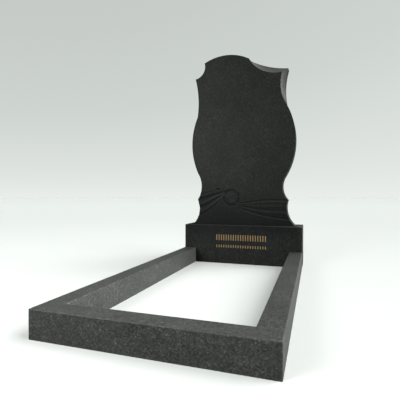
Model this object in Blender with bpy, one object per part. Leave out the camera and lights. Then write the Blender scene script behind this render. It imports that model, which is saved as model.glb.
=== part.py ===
"""Granite grave monument: a shaped stele on a plinth, with a kerb that frames a planting bed.

Metres, +Z up. The kerb runs along Y, its front at -Y, and the plinth and the stele stand at +Y.
The origin is under the middle of the whole monument, on the ground.
"""

import math

import bmesh
import bpy
from mathutils import Vector

# Kerb and plinth, outer sizes
GRAVE_WIDTH = 0.600
KERB_LENGTH = 1.063
KERB_HEIGHT = 0.075
KERB_THICKNESS = 0.060
PLINTH_DEPTH = 0.170
PLINTH_HEIGHT = 0.196
JOINT_GAP = 0.0003
ARRIS = 0.002
ARRIS_STEPS = 2

# Stele: points as (distance right of its centre line, height above the plinth)
STELE_THICKNESS = 0.080
STELE_SHIFT = -0.0013
FOOT_HALF_WIDTH = 0.2660
FOOT_HOLLOW = 0.0205
LEFT_CUSP_REACH = 0.2445
RIGHT_CUSP_REACH = 0.2310
CUSP_HEIGHT = 0.129
LEFT_SWELL_START = (-0.2400, 0.2695)
LEFT_WAIST_HOLLOW = 0.0210
RIGHT_SWELL_START = (0.2165, 0.248)
RIGHT_WAIST_HOLLOW = 0.0200
LEFT_SWELL_END = (-0.2440, 0.5745)
LEFT_SWELL_BULGE = 0.0325
RIGHT_SWELL_END = (0.2255, 0.604)
RIGHT_SWELL_BULGE = 0.0465
LEFT_HORN = (-0.2555, 0.780)
LEFT_NECK_HOLLOW = 0.0105
DOME_START = (-0.2045, 0.860)
LEFT_BITE_HOLLOW = 0.0215
DOME_END = (0.0350, 0.8565)
DOME_BULGE = 0.0310
ARC_STEP = 0.018

# Cove cut into the front of the right horn: the outer points lie behind it, the inner ones on the face
COVE_DEPTH = 0.030
COVE_HOLLOW = 0.0025
COVE_STEPS = 4
HORN_OUTER = (0.2295, 0.7950)
HORN_INNER = (0.2025, 0.7720)
SCOOP_OUTER_HOLLOW = 0.0125
SCOOP_INNER_HOLLOW = 0.0305
SIDE_OUTER_HOLLOW = 0.0125
SIDE_INNER_HOLLOW = 0.0190

# Carving at the foot of the stele: a ring with a cloth drawn through it
RING_CENTRE = (-0.059, 0.1415)
RING_RADIUS = 0.0405
RING_GROOVE_WIDTH = 0.007
RING_GROOVE_DEPTH = 0.005
RING_STEPS = 48
LEFT_CLOTH_DEPTH = 0.0065
RIGHT_CLOTH_DEPTH = 0.0045
CLOTH_OVERRUN = 0.010
CLOTH_SIDE_OVERRUN = 0.0025
CLOTH_STEP = 0.013
PINCH_SHARE = 0.45
PINCH_LENGTH_SHARE = 0.33
CURL_CENTRE = (-0.129, 0.183)
CURL_RADIUS = 0.008
CURL_DEPTH = 0.006
CURL_STEPS = 16

# Edges of the cloth as curves of four control points, the last one past the side of the stele
CLOTH_END = FOOT_HALF_WIDTH + CLOTH_SIDE_OVERRUN
LEFT_CLOTH_TOP = ((-0.088, 0.176), (-0.130, 0.161), (-0.185, 0.148), (-CLOTH_END, 0.122))
LEFT_CLOTH_BOTTOM = ((-0.098, 0.150), (-0.148, 0.110), (-0.192, 0.047), (-CLOTH_END, 0.039))
LEFT_FLAP_TOP = ((-0.104, 0.180), (-0.135, 0.189), (-0.185, 0.170), (-CLOTH_END, 0.142))
RIGHT_CLOTH_TOP = ((-0.021, 0.117), (0.015, 0.100), (0.090, 0.148), (CLOTH_END, 0.124))
RIGHT_CLOTH_BOTTOM = ((-0.050, 0.106), (0.010, 0.074), (0.090, 0.040), (CLOTH_END, 0.029))

# Folds across the cloth: share of the way down from its top edge, and share of the full depth there
LEFT_FOLDS = ((0.00, 1.00), (0.10, 0.75), (0.28, 0.20), (0.42, 0.60), (0.52, 1.00), (0.64, 0.55),
              (0.80, 0.05), (0.92, 0.45), (1.00, 1.00))
FLAP_FOLDS = ((0.00, 0.15), (0.40, 0.05), (0.70, 0.25), (1.00, 0.90))
RIGHT_FOLDS = ((0.00, 1.00), (0.05, 0.55), (0.12, 0.10), (0.25, 0.55), (0.38, 0.15), (0.52, 0.60),
               (0.60, 1.00), (0.65, 0.55), (0.72, 0.10), (0.88, 0.50), (1.00, 1.00))

# Rows of plain upright strokes cut where an inscription would stand, from the top of the plinth down
STROKE_DEPTH = 0.0015
STROKE_WIDTH = 0.005
STROKE_PITCH = 0.0125
STROKE_ROW_WIDTH = 0.255
STROKE_TOP_MARGIN = 0.048
STROKE_ROW_GAP = 0.023
STROKE_ROW_HEIGHTS = (0.030, 0.014)

# What follows from the sizes above
TOTAL_LENGTH = KERB_LENGTH + PLINTH_DEPTH
FRONT_Y = -TOTAL_LENGTH / 2
PLINTH_FRONT_Y = FRONT_Y + KERB_LENGTH
PLINTH_BACK_Y = PLINTH_FRONT_Y + PLINTH_DEPTH
STELE_FRONT_Y = PLINTH_FRONT_Y + (PLINTH_DEPTH - STELE_THICKNESS) / 2
STELE_FOOT_Z = PLINTH_HEIGHT + JOINT_GAP

# Edges flatter than this are shaded as one round surface
SMOOTH_ANGLE = math.radians(20)


def clear_scene():
    """Remove every object that the file starts with."""
    for obj in list(bpy.data.objects):
        bpy.data.objects.remove(obj, do_unlink=True)


def stone(name, colour, roughness):
    """A polished stone material."""
    material = bpy.data.materials.new(name)
    material.use_nodes = True
    shader = material.node_tree.nodes["Principled BSDF"]
    shader.inputs["Base Color"].default_value = (*colour, 1.0)
    shader.inputs["Roughness"].default_value = roughness
    shader.inputs["Metallic"].default_value = 0.0
    return material


def add_object(name, shape, material=None):
    """Turn a bmesh into a named object with its faces pointing out."""
    bmesh.ops.recalc_face_normals(shape, faces=shape.faces)
    mesh = bpy.data.meshes.new(name)
    shape.to_mesh(mesh)
    shape.free()
    obj = bpy.data.objects.new(name, mesh)
    bpy.context.scene.collection.objects.link(obj)
    if material is not None:
        mesh.materials.append(material)
        mesh.shade_smooth()
        mesh.set_sharp_from_angle(angle=SMOOTH_ANGLE)
    return obj


def place_corners(verts, low, high):
    """Stretch the corners of a unit cube to the box between two corners."""
    for vert in verts:
        vert.co = Vector((low[axis] if vert.co[axis] < 0 else high[axis]) for axis in range(3))


def block_shape(low, high):
    """A plain box between two corners."""
    shape = bmesh.new()
    cube = bmesh.ops.create_cube(shape, size=1.0)
    place_corners(cube["verts"], low, high)
    return shape


def soften(shape, chosen):
    """Round the edges whose middle the rule accepts to the width of an arris."""
    edges = [edge for edge in shape.edges if chosen((edge.verts[0].co + edge.verts[1].co) / 2)]
    bmesh.ops.bevel(shape, geom=edges, offset=ARRIS, segments=ARRIS_STEPS, profile=0.5, affect="EDGES")


def arc(start, end, rise, steps):
    """Points of a circular arc from start to end, end left out.

    A positive rise bows the arc to the left of the way from start to end.
    """
    start = Vector(start)
    half = (Vector(end) - start) / 2
    left = Vector((-half.y, half.x)).normalized()
    radius = (half.length_squared + rise * rise) / (2 * rise)
    centre = start + half + left * (rise - radius)
    turn = -math.copysign(2 * math.asin(min(1.0, half.length / abs(radius))), radius)
    first = start - centre
    points = []
    for i in range(steps):
        cos, sin = math.cos(turn * i / steps), math.sin(turn * i / steps)
        points.append(centre + Vector((first.x * cos - first.y * sin, first.x * sin + first.y * cos)))
    return points


def stele_arcs(cove_share):
    """The arcs of the outline as (start, end, rise), from the left end of the foot round to the right.

    The way runs up the left side, over the top and down the right, as seen from the front.
    A cove_share of 0 gives the edge of the front face, and 1 the full outline behind the cove.
    """
    blend = cove_share - COVE_HOLLOW / COVE_DEPTH * math.sin(math.pi * cove_share)
    horn = tuple(Vector(HORN_INNER).lerp(Vector(HORN_OUTER), blend))
    scoop = SCOOP_INNER_HOLLOW + (SCOOP_OUTER_HOLLOW - SCOOP_INNER_HOLLOW) * blend
    side = SIDE_INNER_HOLLOW + (SIDE_OUTER_HOLLOW - SIDE_INNER_HOLLOW) * blend
    left_foot = (-FOOT_HALF_WIDTH, 0.0)
    left_cusp = (-LEFT_CUSP_REACH, CUSP_HEIGHT)
    right_cusp = (RIGHT_CUSP_REACH, CUSP_HEIGHT)
    right_foot = (FOOT_HALF_WIDTH, 0.0)
    return ((left_foot, left_cusp, -FOOT_HOLLOW),
            (left_cusp, LEFT_SWELL_START, -LEFT_WAIST_HOLLOW),
            (LEFT_SWELL_START, LEFT_SWELL_END, LEFT_SWELL_BULGE),
            (LEFT_SWELL_END, LEFT_HORN, -LEFT_NECK_HOLLOW),
            (LEFT_HORN, DOME_START, -LEFT_BITE_HOLLOW),
            (DOME_START, DOME_END, DOME_BULGE),
            (DOME_END, horn, -scoop),
            (horn, RIGHT_SWELL_END, -side),
            (RIGHT_SWELL_END, RIGHT_SWELL_START, RIGHT_SWELL_BULGE),
            (RIGHT_SWELL_START, right_cusp, -RIGHT_WAIST_HOLLOW),
            (right_cusp, right_foot, -FOOT_HOLLOW))


def stele_outline(cove_share):
    """Points of the outline, as many at every depth of the cove."""
    points = []
    for full, (start, end, rise) in zip(stele_arcs(1.0), stele_arcs(cove_share)):
        steps = math.ceil(math.dist(full[0], full[1]) / ARC_STEP)
        points += arc(start, end, rise, steps)
    points.append(Vector((FOOT_HALF_WIDTH, 0.0)))
    return points


def on_face(point, depth):
    """Where a point of the front face lies, at a depth behind the face."""
    return Vector((STELE_SHIFT + point[0], STELE_FRONT_Y + depth, STELE_FOOT_Z + point[1]))


def stele_slab():
    """The slab: its outline lofted through the cove and then straight to the back."""
    shape = bmesh.new()
    layers = [(i / COVE_STEPS, COVE_DEPTH * i / COVE_STEPS) for i in range(COVE_STEPS + 1)]
    layers.append((1.0, STELE_THICKNESS))
    rings = []
    for share, depth in layers:
        rings.append([shape.verts.new(on_face(point, depth)) for point in stele_outline(share)])
    bridge_rings(shape, rings)
    shape.faces.new(rings[0])
    shape.faces.new(rings[-1])
    return shape


def bridge_rings(shape, rings):
    """Faces between closed rings of as many points each."""
    count = len(rings[0])
    for near, far in zip(rings, rings[1:]):
        for i in range(count):
            j = (i + 1) % count
            shape.faces.new((near[i], near[j], far[j], far[i]))


def curve_point(control, t):
    """A point of a cubic curve with four control points."""
    a, b, c, d = (Vector(point) for point in control)
    s = 1 - t
    return a * s ** 3 + b * 3 * s * s * t + c * 3 * s * t * t + d * t ** 3


def cloth_cutter(name, top, bottom, folds, full_depth):
    """A closed cutter whose far side is the folded cloth, which thins to a pinch at the ring."""
    shape = bmesh.new()
    steps = math.ceil(math.dist(top[0], top[-1]) / CLOTH_STEP)
    rings = []
    for i in range(steps + 1):
        t = i / steps
        upper = curve_point(top, t)
        lower = curve_point(bottom, t)
        fullness = PINCH_SHARE + (1 - PINCH_SHARE) * min(1.0, t / PINCH_LENGTH_SHARE)
        line = [(upper.lerp(lower, down), full_depth * fullness * deep) for down, deep in folds]
        near = [shape.verts.new(on_face(point, -CLOTH_OVERRUN)) for point, _ in line]
        far = [shape.verts.new(on_face(point, depth)) for point, depth in line]
        rings.append(near + far[::-1])
    bridge_rings(shape, rings)
    shape.faces.new(rings[0])
    shape.faces.new(rings[-1])
    return as_cutter(add_object(name, shape))


def turned_rings(shape, centre, section, steps):
    """Rings of points about a point of the face, one for each (radius, depth) of the section."""
    rings = []
    for radius, depth in section:
        ring = []
        for i in range(steps):
            angle = 2 * math.pi * i / steps
            point = (centre[0] + radius * math.cos(angle), centre[1] + radius * math.sin(angle))
            ring.append(shape.verts.new(on_face(point, depth)))
        rings.append(ring)
    return rings


def ring_cutter(name):
    """The round groove, with a narrow flat bottom and sloping sides."""
    half = RING_GROOVE_WIDTH / 2
    section = ((RING_RADIUS - half, -CLOTH_OVERRUN), (RING_RADIUS - half, 0.0),
               (RING_RADIUS - half / 3, RING_GROOVE_DEPTH), (RING_RADIUS + half / 3, RING_GROOVE_DEPTH),
               (RING_RADIUS + half, 0.0), (RING_RADIUS + half, -CLOTH_OVERRUN))
    shape = bmesh.new()
    rings = turned_rings(shape, RING_CENTRE, section, RING_STEPS)
    bridge_rings(shape, rings + rings[:1])
    return as_cutter(add_object(name, shape))


def curl_cutter(name):
    """The eye of the curl at the end of the cloth: a round pit with sloping sides."""
    section = ((CURL_RADIUS, -CLOTH_OVERRUN), (CURL_RADIUS, 0.0), (CURL_RADIUS / 3, CURL_DEPTH))
    shape = bmesh.new()
    rings = turned_rings(shape, CURL_CENTRE, section, CURL_STEPS)
    bridge_rings(shape, rings)
    shape.faces.new(rings[0])
    shape.faces.new(rings[-1])
    return as_cutter(add_object(name, shape))


def stroke_cutter(name):
    """All the strokes of the inscription's place, as separate boxes in one cutter."""
    shape = bmesh.new()
    count = int((STROKE_ROW_WIDTH - STROKE_WIDTH) / STROKE_PITCH) + 1
    first = -STROKE_PITCH * (count - 1) / 2
    top = PLINTH_HEIGHT - STROKE_TOP_MARGIN
    for tall in STROKE_ROW_HEIGHTS:
        for i in range(count):
            x = first + STROKE_PITCH * i
            low = (x - STROKE_WIDTH / 2, PLINTH_FRONT_Y - STROKE_DEPTH, top - tall)
            high = (x + STROKE_WIDTH / 2, PLINTH_FRONT_Y + STROKE_DEPTH, top)
            box = bmesh.ops.create_cube(shape, size=1.0)
            place_corners(box["verts"], low, high)
        top -= tall + STROKE_ROW_GAP
    return as_cutter(add_object(name, shape))


def as_cutter(obj):
    """Mark an object as a cutter, which is no piece of its own."""
    obj.hide_render = True
    obj.display_type = "WIRE"
    return obj


def cut(obj, cutter):
    """Take a cutter's shape out of an object."""
    modifier = obj.modifiers.new(cutter.name, "BOOLEAN")
    modifier.operation = "DIFFERENCE"
    modifier.solver = "EXACT"
    modifier.object = cutter


def build_kerb(material):
    """The three bars of the kerb, open to the plinth at the back."""
    half = GRAVE_WIDTH / 2
    start = FRONT_Y + KERB_THICKNESS + JOINT_GAP
    end = PLINTH_FRONT_Y - JOINT_GAP

    def shows_on_front_bar(middle):
        """Its upright front corners and the top edges other than the inner one."""
        return middle.z > ARRIS and middle.y < start - KERB_THICKNESS / 3

    def long_top_edge(middle):
        """The two top edges that run the whole length of a side bar."""
        return middle.z > KERB_HEIGHT - ARRIS and start < middle.y < end

    front = block_shape((-half, FRONT_Y, 0.0), (half, FRONT_Y + KERB_THICKNESS, KERB_HEIGHT))
    soften(front, shows_on_front_bar)
    add_object("kerb_front", front, material)
    for name, low_x in (("kerb_left", -half), ("kerb_right", half - KERB_THICKNESS)):
        bar = block_shape((low_x, start, 0.0), (low_x + KERB_THICKNESS, end, KERB_HEIGHT))
        soften(bar, long_top_edge)
        add_object(name, bar, material)


def build_plinth(material):
    """The plinth block, with the strokes cut into its front."""
    half = GRAVE_WIDTH / 2
    block = block_shape((-half, PLINTH_FRONT_Y, 0.0), (half, PLINTH_BACK_Y, PLINTH_HEIGHT))
    soften(block, lambda middle: middle.z > ARRIS)
    plinth = add_object("plinth", block, material)
    cut(plinth, stroke_cutter("stroke_cutter"))


def build_stele(material):
    """The stele, with its ring and cloth carved into the foot."""
    stele = add_object("stele", stele_slab(), material)
    for name, top, bottom, folds, depth in (
            ("left_cloth_cutter", LEFT_CLOTH_TOP, LEFT_CLOTH_BOTTOM, LEFT_FOLDS, LEFT_CLOTH_DEPTH),
            ("left_flap_cutter", LEFT_FLAP_TOP, LEFT_CLOTH_TOP, FLAP_FOLDS, LEFT_CLOTH_DEPTH),
            ("right_cloth_cutter", RIGHT_CLOTH_TOP, RIGHT_CLOTH_BOTTOM, RIGHT_FOLDS, RIGHT_CLOTH_DEPTH)):
        cut(stele, cloth_cutter(name, top, bottom, folds, depth))
    cut(stele, ring_cutter("ring_cutter"))
    cut(stele, curl_cutter("curl_cutter"))


def main():
    """Build the monument from the ground up."""
    clear_scene()
    kerb_stone = stone("kerb_granite", (0.055, 0.060, 0.056), 0.35)
    plinth_stone = stone("plinth_granite", (0.030, 0.033, 0.031), 0.28)
    stele_stone = stone("stele_granite", (0.026, 0.029, 0.027), 0.25)
    build_kerb(kerb_stone)
    build_plinth(plinth_stone)
    build_stele(stele_stone)


main()
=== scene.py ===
"""Looks of the granite grave monument: polished stone, a carved stele, painted strokes, a plain studio."""
import logging
import math
from dataclasses import dataclass, field
from enum import Enum

import bmesh
import bpy
import numpy as np
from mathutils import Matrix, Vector
from mathutils.geometry import delaunay_2d_cdt


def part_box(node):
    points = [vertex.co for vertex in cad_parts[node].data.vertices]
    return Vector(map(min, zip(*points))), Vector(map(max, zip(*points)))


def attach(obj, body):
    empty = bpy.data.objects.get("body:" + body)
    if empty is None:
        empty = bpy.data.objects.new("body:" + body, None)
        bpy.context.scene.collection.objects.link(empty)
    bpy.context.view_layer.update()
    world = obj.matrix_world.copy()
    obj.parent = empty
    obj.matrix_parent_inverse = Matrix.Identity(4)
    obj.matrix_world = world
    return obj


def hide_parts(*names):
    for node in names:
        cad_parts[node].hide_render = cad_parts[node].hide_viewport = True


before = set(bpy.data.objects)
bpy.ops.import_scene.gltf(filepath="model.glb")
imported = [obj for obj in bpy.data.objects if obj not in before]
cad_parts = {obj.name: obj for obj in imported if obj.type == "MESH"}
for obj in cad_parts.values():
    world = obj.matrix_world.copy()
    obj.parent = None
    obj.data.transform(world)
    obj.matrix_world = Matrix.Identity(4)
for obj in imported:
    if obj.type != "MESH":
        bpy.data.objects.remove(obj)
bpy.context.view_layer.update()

log = logging.getLogger("monument")

Point = tuple[float, float]
Span = tuple[float, float]
Colour = tuple[float, float, float]
Corners = tuple[Vector, Vector]
Socket = bpy.types.NodeSocket

BODY = "root"


def smooth(value: np.ndarray) -> np.ndarray:
    """Ease a value from 0 to 1, flat at both ends."""
    share = np.clip(value, 0.0, 1.0)
    return share * share * (3.0 - 2.0 * share)


def corners(node: str) -> Corners:
    """Find the lowest and the highest corner of a block of the frame."""
    low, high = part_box(node)
    return Vector(low), Vector(high)


def put_in_scene(name: str, data: bpy.types.ID) -> bpy.types.Object:
    """Make an object of a mesh, a lamp or a camera and link it to the scene."""
    made = bpy.data.objects.new(name, data)
    bpy.context.scene.collection.objects.link(made)
    return made


class Side(Enum):
    """A side of the stele as seen from the front."""

    LEFT = -1
    RIGHT = 1


class Wiring:
    """A shader or geometry tree that is filled node by node."""

    def __init__(self, tree: bpy.types.NodeTree) -> None:
        """Empty the tree and keep it."""
        self.tree = tree
        tree.nodes.clear()

    def add(self, kind: str, inputs: dict | None = None, **settings: object) -> bpy.types.Node:
        """Add a node.

        Args:
            kind: The node's type name.
            inputs: Values or sockets for its inputs, by name or index.
            **settings: Properties of the node itself.

        Returns:
            The new node.
        """
        node = self.tree.nodes.new(kind)
        for name, value in settings.items():
            setattr(node, name, value)
        for key, value in (inputs or {}).items():
            if isinstance(value, Socket):
                self.tree.links.new(value, node.inputs[key])
            else:
                node.inputs[key].default_value = value
        return node

    def math(self, operation: str, *values: object) -> Socket:
        """Work out a number from numbers or sockets."""
        return self.add("ShaderNodeMath", dict(enumerate(values)), operation=operation).outputs[0]

    def vector(self, operation: str, *values: object) -> Socket:
        """Work out a vector from vectors or sockets, or a number for LENGTH."""
        node = self.add("ShaderNodeVectorMath", dict(enumerate(values)), operation=operation)
        return node.outputs["Value" if operation == "LENGTH" else "Vector"]

    def parts(self, vector: Socket) -> bpy.types.NodeOutputs:
        """Split a vector into its three numbers."""
        return self.add("ShaderNodeSeparateXYZ", {0: vector}).outputs

    def ease(self, value: object, low: float, high: float, start: float = 0.0, end: float = 1.0) -> Socket:
        """Map a number smoothly from one range to another.

        Args:
            value: The number or socket.
            low: Where the change starts.
            high: Where it ends.
            start: The result at low.
            end: The result at high.

        Returns:
            The socket with the result.
        """
        inputs = {0: value, 1: low, 2: high, 3: start, 4: end}
        return self.add("ShaderNodeMapRange", inputs, interpolation_type="SMOOTHSTEP").outputs[0]

    def blend(self, share: object, first: object, second: object, mode: str = "MIX") -> Socket:
        """Blend two colours.

        Args:
            share: How much of the second, from 0 to 1.
            first: The first colour or socket.
            second: The second colour or socket.
            mode: The way they are blended.

        Returns:
            The socket with the colour.
        """
        inputs = {0: share, 6: first, 7: second}
        return self.add("ShaderNodeMix", inputs, data_type="RGBA", blend_type=mode).outputs[2]

    def ramp(self, value: object, stops: tuple[tuple[float, Colour], ...]) -> Socket:
        """Read a colour off a ramp.

        Args:
            value: The place on the ramp, from 0 to 1.
            stops: The ramp's places and colours, in order.

        Returns:
            The socket with the colour.
        """
        node = self.add("ShaderNodeValToRGB", {0: value})
        elements = node.color_ramp.elements
        while len(elements) < len(stops):
            elements.new(1.0)
        for element, (place, colour) in zip(elements, stops):
            element.position = place
            element.color = (*colour, 1.0)
        return node.outputs[0]

    def dim(self, tone: Socket, value: Socket, stops: tuple[Point, ...], share: object = 1.0) -> Socket:
        """Darken or lighten a colour by a ramp of greys.

        Args:
            tone: The colour.
            value: The place on the ramp, from 0 to 1.
            stops: The ramp's places and factors, in order.
            share: How much of the change is taken.

        Returns:
            The socket with the colour.
        """
        greys = tuple((place, (factor,) * 3) for place, factor in stops)
        return self.blend(share, tone, self.ramp(value, greys), "MULTIPLY")


class Surface(Wiring):
    """The shader tree of a new material, with the shaded point and the way it faces at hand."""

    def __init__(self, name: str) -> None:
        """Make the material.

        Args:
            name: The material's name.
        """
        self.material = bpy.data.materials.new(name)
        self.material.use_nodes = True
        super().__init__(self.material.node_tree)
        given = self.add("ShaderNodeTexCoord").outputs
        self.place, self.facing = given["Object"], given["Normal"]

    def attribute(self, name: str) -> Socket:
        """Read a number that the mesh holds at each of its points."""
        return self.add("ShaderNodeAttribute", attribute_name=name).outputs["Fac"]

    def noise(self, scale: float, detail: float = 2.0, **more: float) -> bpy.types.NodeOutputs:
        """Add a noise over the shaded point, with more of its inputs by name."""
        inputs = {"Vector": self.place, "Scale": scale, "Detail": detail, **more}
        return self.add("ShaderNodeTexNoise", inputs).outputs

    def close(self, inputs: dict, height: Socket, strength: float, distance: float) -> bpy.types.Material:
        """End the tree with its shader.

        Args:
            inputs: Values or sockets for the shader, by name.
            height: The fine relief's height.
            strength: The fine relief's strength.
            distance: The fine relief's full height, in metres.

        Returns:
            The finished material.
        """
        bump = self.add("ShaderNodeBump", {"Strength": strength, "Distance": distance, "Height": height})
        shader = self.add("ShaderNodeBsdfPrincipled", {**inputs, "Normal": bump.outputs[0]})
        self.add("ShaderNodeOutputMaterial", {"Surface": shader.outputs[0]})
        return self.material


@dataclass(frozen=True)
class Granite:
    """Dark granite: grains of several tones with laths in clusters, polished, duller where carved or worn,
    with painted shade in grooves, round the stele's seat and on its sides.

    Colours are linear and lengths in metres. Two edges say where a change starts and where it ends, and a
    pitch says how many noise cells go on a grain.
    """

    ground: Colour
    dark_grain: Colour
    light_grain: Colour
    fleck: Colour
    honed: Colour
    # the colour of all painted shade, and of the dirt in the grooves
    shade: Colour = (0.008, 0.009, 0.0085)
    grain_size: float = 0.0032
    grain_wander: float = 1.3
    wander_pitch: float = 0.7
    fine_pitch: float = 2.6
    fine_greys: tuple[Point, Point] = ((0.25, 0.78), (0.75, 1.24))
    lath_size: float = 0.010
    lath_twist: float = 1.4
    lath_edges: tuple[float, float, float, float] = (0.35, 0.45, 0.54, 0.64)
    lath_light: float = 0.5
    lath_dark: float = 0.3
    cluster_size: float = 0.045
    cluster_edges: Span = (0.42, 0.62)
    cluster_least: float = 0.12
    cloud_size: float = 0.11
    cloud_edges: Span = (0.3, 0.7)
    cloud_depth: float = 0.16
    polish: float = 0.42
    polish_edges: Span = (0.4, 1.2)
    polish_spread: Span = (-0.04, 0.06)
    grain_polish: float = 0.5
    dulling: float = 0.28
    worn_dulling: float = 0.12
    gloss: float = 0.05
    refraction: float = 1.5
    relief: float = 0.00012
    relief_strength: float = 0.6
    pit_depths: Span = (0.35, 2.5)
    honed_cover: float = 0.8
    # dirt and painted shade in the grooves: how much of the shade colour they take
    grime_and_shade_cover: float = 0.9
    wear_width: float = 0.0035
    wear_raggedness: tuple[float, float, float, float] = (0.35, 0.65, 0.25, 0.8)
    wear_share: float = 0.2
    # rain dulling with painted top light: up-facing faces turn duller and paler
    rain_and_top_light: float = 1.0
    rain_and_top_light_edges: Span = (0.15, 0.65)
    back_skin: Span = (0.0015, 0.0002)
    back_honing: float = 0.6
    # painted shade round the stele's seat: its reach, its share at the seat, and how much faster it fades
    # sideways
    seat_shade_reach: float = 0.10
    seat_shade_share: float = 0.7
    seat_shade_squeeze: float = 3.0
    # painted shade on the stele's upright sides
    side_shade: float = 0.0
    side_edges: Span = (0.6, 0.8)
    flank_edges: Span = (0.1, 0.4)

    def dress(self, name: str, block: Corners, seat: Corners, carved: bool = False) -> bpy.types.Material:
        """Make the finish for one block.

        Args:
            name: The material's name.
            block: The block's corners.
            seat: The corners of the seat that the stele stands on.
            carved: Whether the piece's mesh holds the attributes of the grooves' dirt and painted shade, of
                the chisel's paleness and of the arrises.

        Returns:
            The material.
        """
        wiring = Surface(name)
        honed = self.back_mask(wiring, block[1])
        # up-facing faces paler and duller: rain dulling with painted top light
        if self.rain_and_top_light:
            honed = wiring.math("MAXIMUM", honed, self.rain_and_top_light_share(wiring))
        # painted shade round the stele's seat, with the painted shade of the sides added below
        painted_shade = self.seat_shade(wiring, seat)
        # painted shade on the stele's upright sides
        if self.side_shade:
            painted_shade = wiring.math("MAXIMUM", painted_shade, self.side_mask(wiring))
        if not carved:
            return self.finish(wiring, self.block_edges(wiring, block), honed, painted_shade)
        honed = wiring.math("MAXIMUM", honed, wiring.attribute("bloom"))
        return self.finish(wiring, wiring.attribute("arris"), honed, painted_shade, wiring.attribute("groove_grime_and_shade"))

    def block_edges(self, wiring: Surface, block: Corners) -> Socket:
        """Work out how near the closest edge of a plain block is.

        Args:
            wiring: The tree to fill.
            block: The block's corners.

        Returns:
            The socket with 1 on an edge and 0 past the width of the wear.
        """
        low, high = block
        middle = wiring.vector("SUBTRACT", wiring.place, (low + high) / 2)
        parts = wiring.parts(wiring.vector("SUBTRACT", (high - low) / 2, wiring.vector("ABSOLUTE", middle)))
        least, most, total = (wiring.math(name, wiring.math(name, parts[0], parts[1]), parts[2])
                              for name in ("MINIMUM", "MAXIMUM", "ADD"))
        second = wiring.math("SUBTRACT", wiring.math("SUBTRACT", total, least), most)
        return wiring.ease(second, 0.0, self.wear_width, 1.0, 0.0)

    def rain_and_top_light_share(self, wiring: Surface) -> Socket:
        """Find how far the rain has dulled the surface and painted top light has paled it, which is most
        where it looks up.
        """
        return wiring.ease(wiring.parts(wiring.facing)[2], *self.rain_and_top_light_edges, 0.0, self.rain_and_top_light)

    def side_mask(self, wiring: Surface) -> Socket:
        """Find the upright sides, where a stele gets painted shade that makes them darker than its faces.

        Args:
            wiring: The tree to fill.

        Returns:
            The socket with the share of painted shade on the sides and 0 elsewhere.
        """
        parts = wiring.parts(wiring.facing)
        upright = wiring.ease(wiring.math("ABSOLUTE", parts[0]), *self.side_edges, 0.0, self.side_shade)
        flat = wiring.ease(wiring.math("ABSOLUTE", parts[1]), *self.flank_edges, 1.0, 0.0)
        return wiring.math("MULTIPLY", upright, flat)

    def back_mask(self, wiring: Surface, high: Vector) -> Socket:
        """Find the back face, which is only ground smooth."""
        start, end = (high.y - depth for depth in self.back_skin)
        return wiring.ease(wiring.parts(wiring.place)[1], start, end, 0.0, self.back_honing)

    def seat_shade(self, wiring: Surface, seat: Corners) -> Socket:
        """Find the painted shade round the stele's seat, which is fullest at the seat.

        Args:
            wiring: The tree to fill.
            seat: The corners of the seat.

        Returns:
            The socket with the full share at the seat and 0 past the reach.
        """
        low, high = seat
        middle = wiring.vector("ABSOLUTE", wiring.vector("SUBTRACT", wiring.place, (low + high) / 2))
        past = wiring.vector("MAXIMUM", wiring.vector("SUBTRACT", middle, (high - low) / 2), (0.0, 0.0, 0.0))
        past = wiring.vector("MULTIPLY", past, (self.seat_shade_squeeze, 1.0, 1.0))
        return wiring.ease(wiring.vector("LENGTH", past), 0.0, self.seat_shade_reach, self.seat_shade_share, 0.0)

    def tone(self, wiring: Surface, chance: Socket, fine: Socket) -> Socket:
        """Mix the colour of the polished stone.

        Args:
            wiring: The tree to fill.
            chance: A number of each grain's own, from 0 to 1.
            fine: A noise finer than the grains.

        Returns:
            The socket with the colour.
        """
        tone = wiring.ramp(chance, ((0.0, self.dark_grain), (0.22, self.dark_grain), (0.34, self.ground),
                                    (0.66, self.ground), (0.86, self.light_grain), (0.95, self.light_grain),
                                    (0.985, self.fleck)))
        tone = wiring.dim(tone, fine, self.fine_greys)
        laths = wiring.noise(1.0 / self.lath_size, Distortion=self.lath_twist)["Fac"]
        greys = (1.0 - self.lath_dark, 1.0, 1.0, 1.0 + self.lath_light)
        cluster = wiring.noise(1.0 / self.cluster_size)["Fac"]
        clustered = wiring.ease(cluster, *self.cluster_edges, self.cluster_least, 1.0)
        tone = wiring.dim(tone, laths, tuple(zip(self.lath_edges, greys)), clustered)
        cloud = wiring.noise(1.0 / self.cloud_size, 5.0, Roughness=0.6)["Fac"]
        greys = (1.0 - self.cloud_depth, 1.0 + self.cloud_depth)
        return wiring.dim(tone, cloud, tuple(zip(self.cloud_edges, greys)))

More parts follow.
